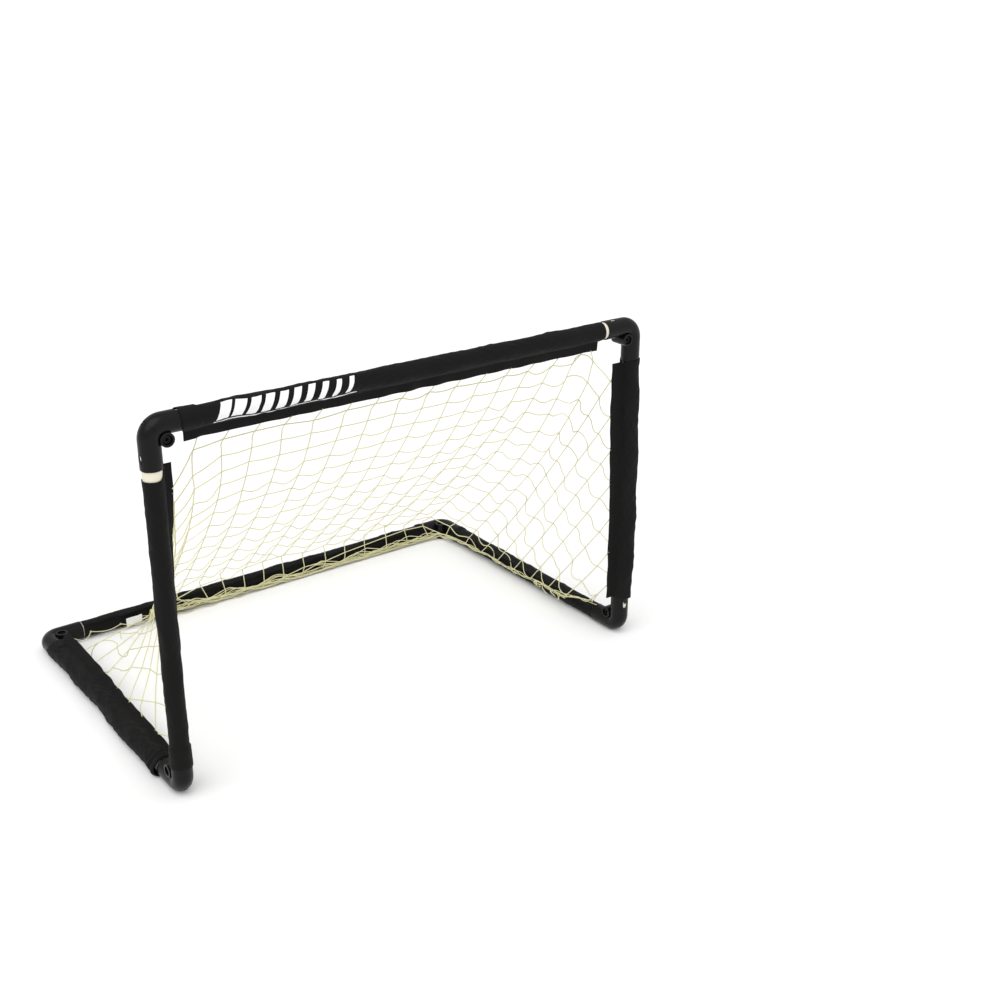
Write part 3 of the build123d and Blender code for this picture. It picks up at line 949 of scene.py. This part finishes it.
def long_diamonds(rope, rng):
    """The lowest cells, pulled out into long diamonds on the rear bar."""
    along_bar = np.arange(GATHER_CORNER + 0.02, GATHER_AT[-1] - 0.03, 0.006)
    for k in range(DIAMOND_ROWS):
        path = gathered(along_bar).T
        cells = (along_bar - GATHER_CORNER) / (0.088 + 0.008 * k) + k / DIAMOND_ROWS
        zigzag = 1 - np.abs(2 * (cells % 1) - 1)
        path[:, 2] += (0.013 + 0.0035 * k) * zigzag * rng.uniform(0.8, 1.0)
        before_bar = REAR - np.sqrt((TIGHT_R + 0.0022) ** 2 - (path[:, 2] - BOTTOM) ** 2)
        path[:, 1] = np.minimum(path[:, 1], before_bar)
        rope.run(resampled(path[::2]))


def loose_ends(rope, rng):
    """Cut ends that stick out along the right side bar."""
    t = np.linspace(0, 1, 9)[:, None]
    for _ in range(LOOSE_ENDS):
        start = gathered(rng.uniform(0.0, 0.20))
        heading = rng.uniform(-1.0, 1.0)
        way = np.array([-0.35, -cos(heading), 0.3 * sin(heading)]) * rng.uniform(0.016, 0.034)
        bent = np.array([-0.007, 0.006, 0.0]) * rng.uniform(-1, 1) * np.sin(pi * t)
        rope.run(resampled(start + way * t + (bent - (0, 0, 0.006) * t ** 2)))


def slack_loops(rope, rng):
    """Slack loops along the right side bar."""
    t = np.linspace(0, tau * 0.93, 22)[:, None]
    for k in range(SLACK_LOOPS):
        wide, high = rng.uniform(0.007, 0.012), rng.uniform(0.005, 0.008)
        up = np.array([-0.35, 0.1, 0.9]) * high * (np.cos(t) - 1) * 0.6
        along = np.array([0, 1.0, 0.05]) * wide * np.sin(t)
        rope.run(gathered(0.09 + 0.075 * k) + up + along - (0.002, 0, 0))


def edge_to_side_bar(rope):
    """The edge of the net from the bunch to the left side bar, caught twice on the rear bar."""
    on_bar = REAR - TIGHT_R - 0.0012
    caught = [BUNCH + (-0.004, -0.002, -0.003), (CAUGHT_AT[0], on_bar, BOTTOM - 0.003),
              (CAUGHT_AT[1], on_bar, BOTTOM - 0.001), SLEEVES["left_side_bar"].tip(0.505, FIN_GRIP)]
    t = np.linspace(0, 1, 14)[:, None]
    for a, b, droop in zip(caught, caught[1:], (0.006, 0.004, 0.008)):
        a, b = np.array(a), np.array(b)
        path = a * (1 - t) + b * t - np.array([0, 1.6, 0.7]) * droop * np.sin(pi * t)
        rope.run(np.maximum(path, (-1, -1, TWINE_R)))
    for at in caught[1:3]:
        rope.run(np.array(at) + knot_path(0.0011) @ UPRIGHT, closed=True, radius=TWINE_R * 0.8)


def bunch_tie():
    """Twine wound round the bunch and knotted, with two cut ends."""
    tie = Twine(TWINE_R, 8)
    turn = np.linspace(0, TIE_TURNS * tau, 150)
    tie.run(np.stack([BUNCH[0] - 0.0035 + 0.0015 * turn / tau,
                      BUNCH[1] - 0.0004 + 0.0050 * np.cos(turn),
                      BUNCH[2] + 0.0085 * np.sin(turn)], 1))
    t = np.linspace(0, 1, 10)[:, None]
    for k in (-1, 1):
        end = np.array([0.012 * k, -0.004, 0])
        tie.run(BUNCH + (0, -0.006, 0) + end * t - (0, 0, 0.012) * t ** 2)
    tie.run(BUNCH + (0, -0.0062, 0) + knot_path(0.0014) @ UPRIGHT, closed=True)
    return tie


def label_points(across, up):
    """The label's grid of points, slightly wavy, standing upright left of the bunch."""
    at = np.array([middle("care_tag").x - 0.0055, GATHER_Y - 0.0005, BOTTOM - 0.0005])
    bend = 0.0011 * np.sin(across / TAG_WIDE * 5 + 0.6) + 0.0007 * np.sin(up / TAG_TALL * 3 + across * 90)
    aside = across - TAG_WIDE / 2
    return at + np.stack([aside, bend, up - TAG_TALL / 2 + 0.08 * aside], -1)


def label_loop(points):
    """The label's loop, from its edge to the bunch."""
    loop = Twine(0.0004)
    t = np.linspace(0, 1, 10)[:, None]
    for k in (-1, 1):
        a = points[6 + 3 * k, -1] - (0.0012, 0, 0)
        b = BUNCH + (-0.003, -0.0052, 0.002 * k)
        loop.run(a * (1 - t) + b * t - np.array([0, 0.0012, 0.001 * k]) * np.sin(pi * t))
    return loop


rope = Twine(TWINE_R * 0.9)
rope_rng = np.random.default_rng(21)
wandering_strands(rope, rope_rng)
long_diamonds(rope, rope_rng)
loose_ends(rope, rope_rng)
slack_loops(rope, rope_rng)
edge_to_side_bar(rope)
rope_piece = rope.piece("net_gathered_edge", NET_MATERIAL, "base", "net_twine")
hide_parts("net_gather")

tie_piece = bunch_tie().piece("net_tie_twine", NET_MATERIAL, "base", "net_twine")
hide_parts("net_tie")

tag_across, tag_up = np.meshgrid(np.linspace(0, TAG_WIDE, 25), np.linspace(0, TAG_TALL, 13))
tag_points = label_points(tag_across, tag_up)
tag_piece = mesh_piece("care_label", tag_points.reshape(-1, 3), grid_faces(13, 25, False),
                       grid_uvs(tag_across, tag_up, False), label("satin_label"), "base")
tag_cloth = tag_piece.modifiers.new("cloth", "SOLIDIFY")
tag_cloth.thickness, tag_cloth.offset = 0.0003, 0
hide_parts("care_tag")
label_loop(tag_points).piece("care_label_loop", NET_MATERIAL, "base", "net_twine")


# ---------------- finish

def dress(names, material):
    for name in names:
        mesh = frame["nodes"][name].data
        mesh.materials.clear()
        mesh.materials.append(material)


NODES = list(frame["nodes"])
dress([n for n in NODES if n.endswith(("_fork", "_lug"))], moulded("corner_plastic", 0.0045, 0.3))
dress([n for n in NODES if n.endswith("_pin")], moulded("pin_plastic", 0.004, 0.5))
dress([n for n in NODES if n.endswith("_tube")], pipe("cream_pipe"))

# floor, light and camera
CAMERA_AT = Vector((-1.0893, -1.9254, 1.1852))
YAW, PITCH, ROLL = radians(37.21), radians(22.5), radians(0.28)
SENSOR, LENS = 36, 48.7       # in millimetres
FLOOR, FLOOR_Z = 60.0, -0.0003
FLOOR_WHITE = (0.92, 0.92, 0.92, 1)
STUDIO_WHITE, STUDIO_STRENGTH = (1, 1, 1, 1), 0.72


def flat_floor():
    mesh = bpy.data.meshes.new("floor")
    corners = [(-1, -1), (1, -1), (1, 1), (-1, 1)]
    mesh.from_pydata([(x * FLOOR / 2, y * FLOOR / 2, FLOOR_Z) for x, y in corners], [], [(0, 1, 2, 3)])
    shader = Shader("pale_floor")
    shader.set(Base_Color=FLOOR_WHITE, Roughness=0.9, Specular_IOR_Level=0.1)
    mesh.materials.append(shader.material)
    made = bpy.data.objects.new("floor", mesh)
    bpy.context.scene.collection.objects.link(made)
    return made


def broad_light(name, coming_from, strength, spread):
    """An even, very soft light, like the sky through a large diffuser."""
    light = bpy.data.lights.new(name, "SUN")
    light.energy, light.angle = strength, spread
    lamp = bpy.data.objects.new(name, light)
    lamp.rotation_euler = (-Vector(coming_from)).to_track_quat("-Z", "Y").to_euler()
    bpy.context.scene.collection.objects.link(lamp)


floor = flat_floor()

world = bpy.data.worlds.new("studio")
world.use_nodes = True
background = world.node_tree.nodes["Background"]
background.inputs["Color"].default_value = STUDIO_WHITE
background.inputs["Strength"].default_value = STUDIO_STRENGTH
bpy.context.scene.world = world

broad_light("key", (-0.55, -0.35, 1.0), 1.5, radians(60))
broad_light("fill", (0.5, -0.8, 0.9), 0.5, radians(90))

camera_data = bpy.data.cameras.new("camera")
camera_data.sensor_width, camera_data.lens = SENSOR, LENS
camera = bpy.data.objects.new("camera", camera_data)
camera.matrix_world = (Matrix.Translation(CAMERA_AT) @ Matrix.Rotation(-YAW, 4, "Z")
                       @ Matrix.Rotation(pi / 2 - PITCH, 4, "X") @ Matrix.Rotation(ROLL, 4, "Z"))
bpy.context.scene.collection.objects.link(camera)
bpy.context.scene.camera = camera
bpy.context.scene.view_settings.view_transform = "Standard"
